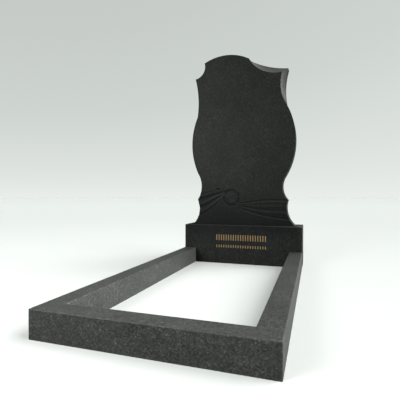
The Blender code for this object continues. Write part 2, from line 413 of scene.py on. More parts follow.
    def finish(self, wiring: Surface, wear: Socket, honed: Socket, painted_shade: Socket,
               cut: Socket | None = None) -> bpy.types.Material:
        """Wire the colour, the polish and the fine relief.

        Args:
            wiring: The tree to fill.
            wear: How much the edge is worn, from 0 to 1.
            honed: How much the surface was left unpolished, from 0 to 1.
            painted_shade: How much painted shade darkens the stone, round the stele's seat and on the
                stele's sides, from 0 to 1.
            cut: How much dirt and painted shade the grooves hold, from 0 to 1, or None where nothing is
                carved.

        Returns:
            The finished material.
        """
        wander = wiring.noise(self.wander_pitch / self.grain_size)["Color"]
        shift = {0: wiring.vector("SUBTRACT", wander, (0.5, 0.5, 0.5)),
                 "Scale": self.grain_size * self.grain_wander}
        shift = wiring.add("ShaderNodeVectorMath", shift, operation="SCALE").outputs[0]
        cells = wiring.add("ShaderNodeTexVoronoi", {"Vector": wiring.vector("ADD", wiring.place, shift),
                                                    "Scale": 1.0 / self.grain_size})
        chance = wiring.add("ShaderNodeSeparateColor", {0: cells.outputs["Color"]}).outputs
        fine = wiring.noise(self.fine_pitch / self.grain_size, 4.0, Roughness=0.7)["Fac"]
        ragged = wiring.math("MULTIPLY", wear, wiring.ease(fine, *self.wear_raggedness))
        # the grooves darken with dirt and painted shade, and their polish is dulled
        unpolished = honed if cut is None else wiring.math("MAXIMUM", honed, cut)
        # the last cover darkens the stone with painted shade round the seat and on the sides
        covers = [(honed, self.honed_cover, self.honed), (ragged, self.wear_share, self.honed),
                  (cut, self.grime_and_shade_cover, self.shade), (painted_shade, 1.0, self.shade)]
        tone = self.tone(wiring, chance[0], fine)
        for share, cover, colour in covers:
            if share is not None:
                tone = wiring.blend(wiring.math("MULTIPLY", share, cover), tone, (*colour, 1.0))
        dull = wiring.math("ADD", wiring.math("MULTIPLY", unpolished, self.dulling),
                           wiring.math("MULTIPLY", ragged, self.worn_dulling))
        mixed = wiring.math("ADD", fine, wiring.math("MULTIPLY", chance[1], self.grain_polish))
        uneven = wiring.ease(mixed, *self.polish_edges, *self.polish_spread)
        rough = wiring.math("ADD", wiring.math("ADD", dull, uneven), self.polish)
        polished_pits, honed_pits = self.pit_depths
        depth = wiring.math("ADD", wiring.math("MULTIPLY", unpolished, honed_pits), polished_pits)
        looks = {"Base Color": tone, "Roughness": rough, "Specular IOR Level": self.gloss,
                 "IOR": self.refraction}
        return wiring.close(looks, wiring.math("MULTIPLY", fine, depth), self.relief_strength, self.relief)


@dataclass(frozen=True)
class StrokePaint:
    """Gold-tone stone paint, brushed into the cut strokes and a little worn."""

    colour: Colour = (0.36, 0.24, 0.10)
    rubbed: Colour = (0.17, 0.12, 0.06)
    patch_size: float = 0.004
    roughness: Span = (0.70, 0.45)
    relief: float = 0.0001
    relief_strength: float = 0.5

    def dress(self, name: str) -> bpy.types.Material:
        """Make the finish.

        Args:
            name: The material's name.

        Returns:
            The material.
        """
        wiring = Surface(name)
        patch = wiring.noise(1.0 / self.patch_size, 5.0, Roughness=0.65)["Fac"]
        tone = wiring.ramp(patch, ((0.30, self.rubbed), (0.52, self.colour), (0.80, self.colour)))
        looks = {"Base Color": tone, "Roughness": wiring.ease(patch, 0.3, 0.7, *self.roughness)}
        return wiring.close(looks, patch, self.relief_strength, self.relief)


@dataclass(frozen=True)
class Arc:
    """A circular arc of the outline, bowed to the left of its way by its rise."""

    start: Point
    end: Point
    rise: float

    def points(self, step: float) -> np.ndarray:
        """Place points along the arc, both ends included.

        Args:
            step: The spacing, about.

        Returns:
            An array of points.
        """
        start, end = np.array(self.start), np.array(self.end)
        half = (end - start) / 2
        length = math.hypot(*half)
        left = np.array((-half[1], half[0])) / length
        radius = (length ** 2 + self.rise ** 2) / (2 * self.rise)
        centre = start + half + left * (self.rise - radius)
        turn = -math.copysign(2 * math.asin(min(1.0, length / abs(radius))), radius)
        angles = turn * np.linspace(0.0, 1.0, math.ceil(2 * length / step) + 1)
        first = start - centre
        return np.stack((centre[0] + first[0] * np.cos(angles) - first[1] * np.sin(angles),
                         centre[1] + first[0] * np.sin(angles) + first[1] * np.cos(angles)), axis=1)


@dataclass(frozen=True)
class Curve:
    """A cubic curve with four control points, read by how far right it has come."""

    control: tuple[Point, Point, Point, Point]
    samples: int = 200

    def height(self, x: np.ndarray) -> np.ndarray:
        """Find the curve's height.

        Args:
            x: Distances right of the centre line.

        Returns:
            The heights there.
        """
        t = np.linspace(0.0, 1.0, self.samples)[:, None]
        a, b, c, d = (np.array(point)[None, :] for point in self.control)
        points = a * (1 - t) ** 3 + 3 * b * t * (1 - t) ** 2 + 3 * c * t ** 2 * (1 - t) + d * t ** 3
        order = np.argsort(points[:, 0])
        return np.interp(x, points[order, 0], points[order, 1])


@dataclass(frozen=True)
class Cloth:
    """A length of carved cloth between two curves, with folds that fan out from the ring."""

    side: Side
    top: Curve
    bottom: Curve
    folds: tuple[Point, ...]
    depth: float = 0.0065
    wall: float = 0.0028
    pinch: float = 0.35
    pinch_length: float = 0.055
    thread_count: float = 8.0
    thread_depth: float = 0.00045
    thread_turn: float = 21.0
    thread_sway: float = 0.35
    sway: float = 0.035
    sway_turn: float = 34.0
    least_width: float = 0.004
    end_length: float = 0.010
    # how much dirt and painted shade the cloth's grooves hold
    grime_and_shade: float = 0.5
    bloom: float = 0.0
    bloom_edges: Span = (1.15, 1.7)
    bloom_fade: float = 0.6
    bloom_reach: float = 0.17

    def along(self, x: np.ndarray) -> np.ndarray:
        """Find how far along the cloth each point lies, from its end at the ring."""
        start = (self.top.control[0][0] + self.bottom.control[0][0]) / 2
        return (x - start) * self.side.value

    def fold(self, x: np.ndarray, height: np.ndarray) -> tuple[np.ndarray, np.ndarray, np.ndarray]:
        """Work out the folds.

        Args:
            x: Distances right of the centre line.
            height: Heights above the foot.

        Returns:
            The share of the full depth, the share of the way down and the share of cloth at each point.
        """
        along = self.along(x)
        top, bottom = self.top.height(x), self.bottom.height(x)
        width = np.maximum(top - bottom, self.least_width)
        down = (top - height) / width
        inside = np.clip(down, 0.0, 1.0)
        swayed = inside + self.sway * np.sin(along * self.sway_turn) * np.sin(math.pi * inside)
        shares = np.array([share for share, _ in self.folds])
        depths = np.array([deep for _, deep in self.folds])
        index = np.clip(np.searchsorted(shares, swayed, side="right") - 1, 0, len(shares) - 2)
        local = smooth((swayed - shares[index]) / (shares[index + 1] - shares[index]))
        profile = depths[index] * (1 - local) + depths[index + 1] * local
        past = np.maximum(np.maximum(-down, down - 1.0) * width, 0.0)
        cover = (1.0 - smooth(past / self.wall)) * smooth(along / self.end_length + 0.5)
        return profile, inside, cover

    def relief(self, x: np.ndarray, height: np.ndarray) -> np.ndarray:
        """Work out how deep the cloth lies.

        Args:
            x: Distances right of the centre line.
            height: Heights above the foot.

        Returns:
            Depths behind the face, 0 outside the cloth.
        """
        profile, inside, cover = self.fold(x, height)
        along = self.along(x)
        wave = np.sin(along * self.thread_turn) * self.thread_sway
        threads = np.sin(2 * math.pi * (inside * self.thread_count + wave))
        fullness = self.pinch + (1 - self.pinch) * smooth(along / self.pinch_length)
        return (self.depth * profile + self.thread_depth * (1 + threads)) * fullness * cover

    def paleness(self, x: np.ndarray, height: np.ndarray) -> np.ndarray:
        """Find how pale the chisel left the ridges, fading towards the side of the slab.

        Args:
            x: Distances right of the centre line.
            height: Heights above the foot.

        Returns:
            A share of paleness at each point, from 0 to 1.
        """
        profile, _, cover = self.fold(x, height)
        level, slope = self.bloom_edges
        fade = 1.0 - self.bloom_fade * smooth(self.along(x) / self.bloom_reach)
        return self.bloom * smooth(level - slope * profile) * cover * fade


@dataclass(frozen=True)
class Pit:
    """A round hollow, such as the eye of the curl or a tuck in the cloth."""

    centre: Point
    radius: float
    depth: float
    stretch: float = 1.0
    # how much dirt and painted shade the hollow holds
    grime_and_shade: float = 0.9

    def relief(self, x: np.ndarray, height: np.ndarray) -> np.ndarray:
        """Work out how deep the hollow lies."""
        away = np.hypot((x - self.centre[0]) / self.stretch, height - self.centre[1])
        return self.depth * (1.0 - smooth(away / self.radius))


@dataclass(frozen=True)
class Ring:
    """The round groove of the ring, covered where the cloth crosses it."""

    centre: Point = (-0.059, 0.1415)
    radius: float = 0.0405
    width: float = 0.0074
    depth: float = 0.0050
    steepness: float = 1.7
    lip: float = 0.0011
    lip_place: float = 1.1
    lip_width: float = 0.8
    covers: tuple[tuple[float, float], ...] = ((158.0, 9.0), (-42.0, 7.0))
    cover_softness: float = 0.6
    covered_depth: float = 0.15
    # how much dirt and painted shade the groove holds
    grime_and_shade: float = 1.0

    def relief(self, x: np.ndarray, height: np.ndarray) -> np.ndarray:
        """Work out how deep the groove lies, with a soft lip inside it.

        Args:
            x: Distances right of the centre line.
            height: Heights above the foot.

        Returns:
            Depths behind the face.
        """
        dx, dz = x - self.centre[0], height - self.centre[1]
        out = np.hypot(dx, dz) - self.radius
        groove = self.depth * smooth(self.steepness * (1.0 - np.abs(out) / (self.width / 2)))
        inner = self.lip * smooth(1.0 - np.abs(out / self.width + self.lip_place) / self.lip_width)
        angle = np.degrees(np.arctan2(dz, dx))
        shown = np.ones_like(angle)
        for middle, half in self.covers:
            off = np.abs((angle - middle + 180.0) % 360.0 - 180.0)
            shown = shown * smooth(off / (half * self.cover_softness) - 1.0)
        return (groove + inner) * (self.covered_depth + (1.0 - self.covered_depth) * shown)


@dataclass
class CarvedStele:
    """The stele as one carved slab, with points as (right of its centre line, above its foot)."""

    low: Vector
    high: Vector
    shift: float = -0.0013
    foot_half_width: float = 0.2660
    foot_hollow: float = 0.0205
    cusp_reach: tuple[float, float] = (0.2445, 0.2310)
    cusp_height: float = 0.129
    left_swell: tuple[Point, Point] = ((-0.2400, 0.2695), (-0.2440, 0.5745))
    right_swell: tuple[Point, Point] = ((0.2255, 0.604), (0.2165, 0.248))
    left_bows: tuple[float, float, float, float] = (-0.0210, 0.0325, -0.0105, -0.0215)
    right_bows: tuple[float, float] = (0.0465, -0.0200)
    left_horn: Point = (-0.2555, 0.780)
    dome: tuple[Point, Point] = ((-0.2045, 0.860), (0.0350, 0.8565))
    dome_bulge: float = 0.0310
    horn_outer: Point = (0.2295, 0.7950)
    horn_inner: Point = (0.2025, 0.7720)
    scoop_bows: tuple[float, float] = (0.0305, 0.0125)
    flank_bows: tuple[float, float] = (0.0190, 0.0125)
    cove_depth: float = 0.030
    cove_hollow: float = 0.0025
    cove_layers: int = 8
    arris: float = 0.0009
    arris_layers: int = 3
    # the depth at which a groove holds its full dirt and painted shade
    full_grime_and_shade: float = 0.004
    carved_height: float = 0.2159
    row_step: float = 0.00155
    column_step: float = 0.00155
    outline_step: float = 0.0045
    face_step: float = 0.014
    face_first_row: float = 0.7
    face_row_share: float = 0.87
    face_clearance: float = 0.55
    merge_distance: float = 1e-7
    least_lean: float = 0.6
    crease_angle: float = 38.0
    cloth_overrun: float = 0.0025
    ring: Ring = field(default_factory=Ring)
    cloths: tuple[Cloth, ...] = field(init=False)
    pits: tuple[Pit, ...] = field(init=False)
    places: list[np.ndarray] = field(init=False, default_factory=list)
    faces: list[tuple[int, ...]] = field(init=False, default_factory=list)
    band_start: int = field(init=False)
    bottom_row: list[int] = field(init=False)
    top_row: list[int] = field(init=False)

    def __post_init__(self) -> None:
        """Set out the cloth and the pits from the slab's own sizes."""
        end = self.foot_half_width + self.cloth_overrun
        left_top = Curve(((-0.088, 0.176), (-0.130, 0.161), (-0.185, 0.148), (-end, 0.122)))
        self.cloths = (
            Cloth(Side.LEFT, left_top,
                  Curve(((-0.098, 0.150), (-0.148, 0.110), (-0.192, 0.047), (-end, 0.039))),
                  ((0.0, 1.0), (0.09, 0.80), (0.29, 0.12), (0.40, 0.50), (0.52, 1.0), (0.62, 0.62),
                   (0.80, 0.0), (0.92, 0.40), (1.0, 1.0)), bloom=1.0),
            Cloth(Side.LEFT, Curve(((-0.104, 0.181), (-0.135, 0.189), (-0.185, 0.170), (-end, 0.142))),
                  left_top, ((0.0, 0.12), (0.42, 0.0), (0.72, 0.18), (1.0, 0.80)), pinch=0.5, grime_and_shade=0.25),
            Cloth(Side.RIGHT, Curve(((-0.021, 0.117), (0.015, 0.100), (0.090, 0.148), (end, 0.124))),
                  Curve(((-0.050, 0.106), (0.010, 0.074), (0.090, 0.040), (end, 0.029))),
                  ((0.0, 0.80), (0.05, 0.50), (0.13, 0.05), (0.25, 0.40), (0.38, 0.12), (0.52, 0.45),
                   (0.60, 0.80), (0.655, 0.50), (0.73, 0.05), (0.88, 0.30), (1.0, 0.65)),
                  depth=0.0038, wall=0.0045, thread_depth=0.0003, grime_and_shade=0.25),
        )
        self.pits = (
            Pit((-0.129, 0.184), 0.010, 0.0062),
            Pit((-0.060, 0.107), 0.006, 0.0022, 3.0),
            Pit((-0.014, 0.088), 0.006, 0.0018, 1.6),
            Pit((0.009, 0.078), 0.007, 0.0030, 1.3),
            Pit((0.046, 0.118), 0.006, 0.0014, 2.0),
        )

    def relief(self, x: np.ndarray, height: np.ndarray) -> np.ndarray:
        """Work out how deep the face is carved.

        Args:
            x: Distances right of the centre line.
            height: Heights above the foot.

        Returns:
            Depths behind the face.
        """
        return np.max([cut.relief(x, height) for cut in self.cuts()], axis=0)

    def cuts(self) -> tuple[Ring | Cloth | Pit, ...]:
        """List all that is carved."""
        return (self.ring, *self.cloths, *self.pits)

    def arcs(self, cove_share: float) -> tuple[Arc, ...]:
        """List the outline's arcs from the left of the foot over the top to the right.

        Args:
            cove_share: 0 for the edge of the front face, 1 for the full outline behind the cove.

        Returns:
            The arcs in order.
        """
        blend = cove_share - self.cove_hollow / self.cove_depth * math.sin(math.pi * cove_share)
        horn = tuple(Vector(self.horn_inner).lerp(Vector(self.horn_outer), blend))
        scoop = self.scoop_bows[0] + (self.scoop_bows[1] - self.scoop_bows[0]) * blend
        flank = self.flank_bows[0] + (self.flank_bows[1] - self.flank_bows[0]) * blend
        turns = ((-self.foot_half_width, 0.0), (-self.cusp_reach[0], self.cusp_height), *self.left_swell,
                 self.left_horn, *self.dome, horn, *self.right_swell,
                 (self.cusp_reach[1], self.cusp_height), (self.foot_half_width, 0.0))
        bows = (-self.foot_hollow, *self.left_bows, self.dome_bulge, -scoop, -flank, *self.right_bows,
                -self.foot_hollow)
        return tuple(Arc(*ends) for ends in zip(turns, turns[1:], bows))

    def row_heights(self) -> np.ndarray:
        """Space the rows of the carved band, with one row on the cusps.

        Returns:
            The rows' heights above the foot, lowest first.
        """
        below = np.linspace(0.0, self.cusp_height, round(self.cusp_height / self.row_step) + 1)
        rest = self.carved_height - self.cusp_height
        above = np.linspace(self.cusp_height, self.carved_height, round(rest / self.row_step) + 1)
        return np.concatenate((below, above[1:]))

    def outline(self, depth: float) -> np.ndarray:
        """Lay the outline's points out at one depth, as many at each.

        Args:
            depth: The depth behind the face.

        Returns:
            The points, from the left of the foot over the top to the right of the foot.
        """
        arcs = self.arcs(min(1.0, depth / self.cove_depth))
        full = self.arcs(1.0)
        rows = self.row_heights()
        sides = []
        for pair in (arcs[:2], arcs[-2:]):
            points = np.concatenate([arc.points(self.row_step / 2) for arc in pair])
            order = np.argsort(points[:, 1], kind="stable")
            sides.append(np.stack((np.interp(rows, points[order, 1], points[order, 0]), rows), axis=1))
        left, right = sides
        path = [left]
        for arc, whole in zip(arcs[1:-1], full[1:-1]):
            count = max(2, math.ceil(math.dist(whole.start, whole.end) / self.outline_step))
            points = arc.points(math.dist(arc.start, arc.end) / count)[:count + 1]
            above = points[points[:, 1] > self.carved_height + self.outline_step / 2]
            path.append(above if arc is arcs[-2] else above[:-1])
        path.append(right[::-1])
        return np.concatenate(path)

    def inset(self, points: np.ndarray, amount: float) -> np.ndarray:
        """Move an outline inwards, its foot only sideways.

        Args:
            points: The outline.
            amount: How far.

        Returns:
            The moved outline.
        """
        before = points - np.roll(points, 1, axis=0)
        after = np.roll(points, -1, axis=0) - points
        before[0], after[-1] = after[0], before[-1]
        before /= np.linalg.norm(before, axis=1, keepdims=True)
        after /= np.linalg.norm(after, axis=1, keepdims=True)
        inward = np.stack((before[:, 1] + after[:, 1], -before[:, 0] - after[:, 0]), axis=1)
        inward /= np.linalg.norm(inward, axis=1, keepdims=True)
        lean = np.clip(inward[:, 0] * before[:, 1] - inward[:, 1] * before[:, 0], self.least_lean, 1.0)
        moved = points + inward * (amount / lean)[:, None]
        moved[[0, -1], 1] = 0.0
        return moved

    def layers(self) -> list[tuple[float, float]]:
        """List the slab's layers: the front arris, the cove, the full slab and the back arris.

        Returns:
            Each layer's depth and inset, from front to back.
        """
        thickness = self.high.y - self.low.y
        turns = [math.pi / 2 * i / self.arris_layers for i in range(self.arris_layers + 1)]
        front = [(self.arris * (1 - math.cos(turn)), self.arris * (1 - math.sin(turn))) for turn in turns]
        cove = [(self.arris + (self.cove_depth - self.arris) * i / self.cove_layers, 0.0)
                for i in range(1, self.cove_layers + 1)]
        back = [(thickness - depth, inwards) for depth, inwards in reversed(front)]
        return front + cove + back

    def build(self) -> bpy.types.Object:
        """Build the carved slab, once.

        Returns:
            The piece, closed and with its place in its mesh.
        """
        layers = self.layers()
        rows = len(self.row_heights())
        rings = [self.inset(self.outline(depth), inwards) for depth, inwards in layers]
        count = len(rings[0])
        rim = self.relief(rings[0][:, 0], rings[0][:, 1])
        rim[rows:count - rows] = 0.0
        for (depth, _), ring in zip(layers, rings):
            squeeze = np.clip(1.0 - depth / self.cove_depth, 0.0, 1.0)
            self.places.append(np.stack((ring[:, 0], depth + rim * squeeze, ring[:, 1]), axis=1))
        self.add_walls(len(layers), count)
        self.add_band(rings[0], rows)
        self.add_face(rings[0], rows, 0, 0.0, self.top_row)
        back = (len(layers) - 1) * count
        self.add_face(rings[-1], 1, back, layers[-1][0], [])
        self.add_underside(len(layers), count)
        points = np.concatenate(self.places)
        points[:, 2] = np.minimum(points[:, 2], self.high.z - self.low.z)
        arris = np.zeros(len(points))
        arris[count:self.arris_layers * count] = 1.0
        arris[back - (self.arris_layers - 1) * count:back] = 1.0
        # the grooves' dirt and painted shade is kept at each point
        return self.to_piece(points, {"groove_grime_and_shade": self.grime_and_shade_share(points), "arris": arris,
                                      "bloom": self.pale_share(points)})

    def grime_and_shade_share(self, points: np.ndarray) -> np.ndarray:
        """Find how much dirt and painted shade the grooves hold.

        Args:
            points: The slab's points, as (right, depth, height).

        Returns:
            A share at each point, from 0 on the face to 1 in a groove.
        """
        x, depth, height = points.T
        near = np.clip(1.0 - depth / self.cove_depth, 0.0, 1.0) * (height < self.carved_height)
        held = [np.clip(cut.relief(x, height) / self.full_grime_and_shade, 0.0, 1.0) * cut.grime_and_shade
                for cut in self.cuts()]
        return np.max(held, axis=0) * near

    def pale_share(self, points: np.ndarray) -> np.ndarray:
        """Find how pale the chisel left the slab.

        Args:
            points: The slab's points, as (right, depth, height).

        Returns:
            A share at each point, from 0 to 1.
        """
        x, depth, height = points.T
        near = (depth < self.cove_depth) * (height < self.carved_height)
        return np.max([cloth.paleness(x, height) for cloth in self.cloths], axis=0) * near

    def add_walls(self, layers: int, count: int) -> None:
        """Join each layer's outline to the next, all but along the foot."""
        self.faces += [(k * count + i, k * count + i + 1, (k + 1) * count + i + 1, (k + 1) * count + i)
                       for k in range(layers - 1) for i in range(count - 1)]

    def add_band(self, ring: np.ndarray, rows: int) -> None:
        """Fill the carved band of the face with a fine grid between the two sides.

        Args:
            ring: The face's outline.
            rows: How many rows the band has.
        """
        count = len(ring)
        left, right = ring[:rows], ring[::-1][:rows]
        columns = round(2 * self.foot_half_width / self.column_step)
        share = np.linspace(0.0, 1.0, columns + 1)[1:-1]
        spread = left[:, None, :] * (1 - share[None, :, None]) + right[:, None, :] * share[None, :, None]
        flat = spread.reshape(-1, 2)
        self.band_start = sum(len(group) for group in self.places)
        self.places.append(np.stack((flat[:, 0], self.relief(flat[:, 0], flat[:, 1]), flat[:, 1]), axis=1))
        index = np.empty((rows, columns + 1), dtype=int)
        index[:, 0] = np.arange(rows)
        index[:, -1] = count - 1 - np.arange(rows)
        index[:, 1:-1] = self.band_start + np.arange(len(flat)).reshape(rows, -1)
        quads = np.stack((index[:-1, :-1], index[:-1, 1:], index[1:, 1:], index[1:, :-1]), axis=-1)
        self.faces.extend(map(tuple, quads.reshape(-1, 4).tolist()))
        self.bottom_row = index[0].tolist()
        self.top_row = index[-1].tolist()

    def add_face(self, ring: np.ndarray, rows: int, offset: int, depth: float, base: list[int]) -> None:
        """Fill a flat face inside the outline with even triangles.

        Args:
            ring: The face's outline.
            rows: How many points at each end of it lie below the filled part, with its own lowest.
            offset: The index of the outline's first point.
            depth: How deep the face lies.
            base: The points along the bottom of the filled part, or none for a straight edge.
        """
        count = len(ring)
        everything = np.concatenate(self.places)
        loop = [offset + i for i in range(rows - 1, count - rows + 1)]
        loop += base[::-1][1:-1]
        edge = [Vector((everything[i][0], everything[i][2])) for i in loop]
        inner = self.inner_points(ring, ring[rows - 1][1])
        bounds = [(i, (i + 1) % len(edge)) for i in range(len(edge))]
        filled = delaunay_2d_cdt(edge + inner, bounds, [], 1, self.merge_distance)
        points, _, triangles, origins = filled[:4]
        start = len(everything)
        index, extra = [], []
        for point, sources in zip(points, origins):
            known = [source for source in sources if source < len(edge)]
            if known:
                index.append(loop[known[0]])
            else:
                index.append(start + len(extra))
                extra.append((point.x, depth, point.y))
        self.places.append(np.array(extra).reshape(-1, 3))
        self.faces.extend(tuple(index[i] for i in triangle) for triangle in triangles)

    def inner_points(self, ring: np.ndarray, floor: float) -> list[Vector]:
        """Spread points over the inside of an outline, in staggered rows.

        Args:
            ring: The outline.
            floor: The height above which they lie.

        Returns:
            The points that are clear of the outline.
        """
        step = self.face_step
        made = []
        lowest = floor + step * self.face_first_row
        heights = np.arange(lowest, ring[:, 1].max(), step * self.face_row_share)
        for k, height in enumerate(heights):
            for x in np.arange(ring[:, 0].min(), ring[:, 0].max(), step) + (k % 2) * step / 2:
                away = ring - (x, height)
                near = np.hypot(away[:, 0], away[:, 1]).min()
                if near > step * self.face_clearance and self.is_inside(ring, x, height):
                    made.append(Vector((x, height)))
        return made

    @staticmethod
    def is_inside(ring: np.ndarray, x: float, height: float) -> bool:
        """Say whether a point lies inside an outline.

        Args:
            ring: The outline.
            x: How far right the point lies.
            height: How high it lies.

        Returns:
            True inside.
        """
        one, two = ring, np.roll(ring, -1, axis=0)
        spans = (one[:, 1] > height) != (two[:, 1] > height)
        one, two = one[spans], two[spans]
        crossing = one[:, 0] + (height - one[:, 1]) * (two[:, 0] - one[:, 0]) / (two[:, 1] - one[:, 1])
        return bool(np.count_nonzero(crossing > x) % 2)

    def add_underside(self, layers: int, count: int) -> None:
        """Close the slab below with one flat face."""
        right = [k * count + count - 1 for k in range(1, layers)]
        left = [k * count for k in range(layers - 1, 0, -1)]
        self.faces.append(tuple(self.bottom_row + right + left))

    def to_piece(self, points: np.ndarray, shares: dict[str, np.ndarray]) -> bpy.types.Object:
        """Turn the points and faces into a piece in the monument's frame.

        Args:
            points: The points, as (right, depth, height).
            shares: A share from 0 to 1 at each point, by the name of its attribute.

        Returns:
            The piece.
        """
        corner = np.array((self.shift, self.low.y, self.low.z))
        mesh = bpy.data.meshes.new("stele_carved")
        mesh.from_pydata((points + corner).tolist(), [], self.faces)
        for name, values in shares.items():
            mesh.attributes.new(name, "FLOAT", "POINT").data.foreach_set("value", values)
        shape = bmesh.new()
        shape.from_mesh(mesh)
        bmesh.ops.triangulate(shape, faces=[face for face in shape.faces if len(face.verts) > 4])
        bmesh.ops.recalc_face_normals(shape, faces=shape.faces)
        shape.to_mesh(mesh)
        shape.free()
        mesh.shade_smooth()
        mesh.set_sharp_from_angle(angle=math.radians(self.crease_angle))
        self.soften_band(mesh)
        return put_in_scene("stele_carved", mesh)

    def soften_band(self, mesh: bpy.types.Mesh) -> None:
        """Keep the carved folds smooth where the sharp-edge rule would crease them.

        Args:
            mesh: The slab's mesh, with its sharp edges marked.
        """
        ends = np.empty(len(mesh.edges) * 2, dtype=np.int32)
        mesh.edges.foreach_get("vertices", ends)
        band_end = self.band_start + (len(self.top_row) - 2) * len(self.row_heights())
        in_band = ((ends >= self.band_start) & (ends < band_end)).reshape(-1, 2).any(axis=1)
        sharp = mesh.attributes["sharp_edge"].data
        marks = np.empty(len(mesh.edges), dtype=bool)
        sharp.foreach_get("value", marks)
        sharp.foreach_set("value", marks & ~in_band)


@dataclass
class StrokeRows:
    """Paint in the two rows of plain strokes that are cut into the plinth's front."""

    low: Vector
    high: Vector
    width: float = 0.005
    pitch: float = 0.0125
    row_width: float = 0.255
    top_margin: float = 0.048
    row_gap: float = 0.023
    row_heights: tuple[float, float] = (0.030, 0.014)
    cut_depth: float = 0.0015
    clearance: float = 0.0001
    fill: float = 0.0009
    crown: float = 0.0003
    stroke_grid: tuple[int, int, int] = (5, 2, 4)
    paint: StrokePaint = field(default_factory=StrokePaint)

    def stroke_tree(self) -> bpy.types.NodeTree:
        """Make the tree that lays out one row of painted strokes.

        Returns:
            The geometry tree, with named inputs for its sizes.
        """
        tree = bpy.data.node_groups.new("stroke_row", "GeometryNodeTree")
        face = tree.interface
        face.new_socket("Geometry", in_out="OUTPUT", socket_type="NodeSocketGeometry")
        for name, kind in (("Count", "NodeSocketInt"), ("Pitch", "NodeSocketFloat"),
                           ("Stroke Size", "NodeSocketVector"), ("Row Centre", "NodeSocketVector"),
                           ("Crown", "NodeSocketFloat"), ("Paint", "NodeSocketMaterial")):
            face.new_socket(name, in_out="INPUT", socket_type=kind)
        wiring = Wiring(tree)
        given = wiring.add("NodeGroupInput").outputs
        steps = wiring.math("SUBTRACT", given["Count"], 1.0)
        reach = wiring.math("MULTIPLY", wiring.math("MULTIPLY", steps, given["Pitch"]), -0.5)
        start = wiring.add("ShaderNodeCombineXYZ", {0: reach}).outputs[0]
        shift = wiring.add("ShaderNodeCombineXYZ", {0: given["Pitch"]}).outputs[0]
        first = wiring.vector("ADD", start, given["Row Centre"])
        line = wiring.add("GeometryNodeMeshLine", {"Count": given["Count"], "Start Location": first,
                                                   "Offset": shift})
        grid = {f"Vertices {axis}": count for axis, count in zip("XYZ", self.stroke_grid)}
        stroke = wiring.add("GeometryNodeMeshCube", {"Size": given["Stroke Size"], **grid})
        size = wiring.parts(given["Stroke Size"])
        spot = wiring.parts(wiring.add("GeometryNodeInputPosition").outputs[0])
        across = wiring.math("DIVIDE", wiring.math("MULTIPLY", spot[0], 2.0), size[0])
        hollow = wiring.math("MULTIPLY", wiring.math("SUBTRACT", 1.0, wiring.math("POWER", across, 2.0)),
                             given["Crown"])
        front = wiring.math("LESS_THAN", spot[1], 0.0)
        sink = wiring.add("ShaderNodeCombineXYZ", {1: wiring.math("MULTIPLY", hollow, front)}).outputs[0]
        shaped = wiring.add("GeometryNodeSetPosition", {"Geometry": stroke.outputs["Mesh"], "Offset": sink})
        rows = wiring.add("GeometryNodeInstanceOnPoints", {"Points": line.outputs[0],
                                                           "Instance": shaped.outputs[0]})
        real = wiring.add("GeometryNodeRealizeInstances", {0: rows.outputs[0]})
        painted = wiring.add("GeometryNodeSetMaterial", {"Geometry": real.outputs[0],
                                                         "Material": given["Paint"]})
        wiring.add("NodeGroupOutput", {0: painted.outputs[0]})
        return tree

    def build(self) -> list[bpy.types.Object]:
        """Build the paint of both rows.

        Returns:
            The two pieces, upper row first.
        """
        tree = self.stroke_tree()
        count = int((self.row_width - self.width) / self.pitch) + 1
        depth = self.low.y + self.cut_depth - self.clearance - self.fill / 2
        top = self.high.z - self.top_margin
        paint = self.paint.dress("stroke_paint")
        pieces = []
        for name, tall in zip(("stroke_paint_upper", "stroke_paint_lower"), self.row_heights):
            centre = ((self.low.x + self.high.x) / 2, depth, top - tall / 2)
            size = (self.width - 2 * self.clearance, self.fill, tall - 2 * self.clearance)
            values = {"Count": count, "Pitch": self.pitch, "Stroke Size": size, "Row Centre": centre,
                      "Crown": self.crown, "Paint": paint}
            pieces.append(grow(name, tree, values))
            top -= tall + self.row_gap
        return pieces


def grow(name: str, tree: bpy.types.NodeTree, values: dict) -> bpy.types.Object:
    """Run a geometry tree and keep its result as a plain mesh.

    Args:
        name: The piece's name.
        tree: The geometry tree.
        values: A value for each of its named inputs.

    Returns:
        The piece, with no modifier left.
    """
    piece = put_in_scene(name, bpy.data.meshes.new(name))
    modifier = piece.modifiers.new(name, "NODES")
    modifier.node_group = tree
    for item in tree.interface.items_tree:
        if item.in_out == "INPUT":
            modifier[item.identifier] = values[item.name]
    evaluated = piece.evaluated_get(bpy.context.evaluated_depsgraph_get())
    mesh = bpy.data.meshes.new_from_object(evaluated)
    piece.modifiers.remove(modifier)
    piece.data = mesh
    mesh.name = name
    return piece


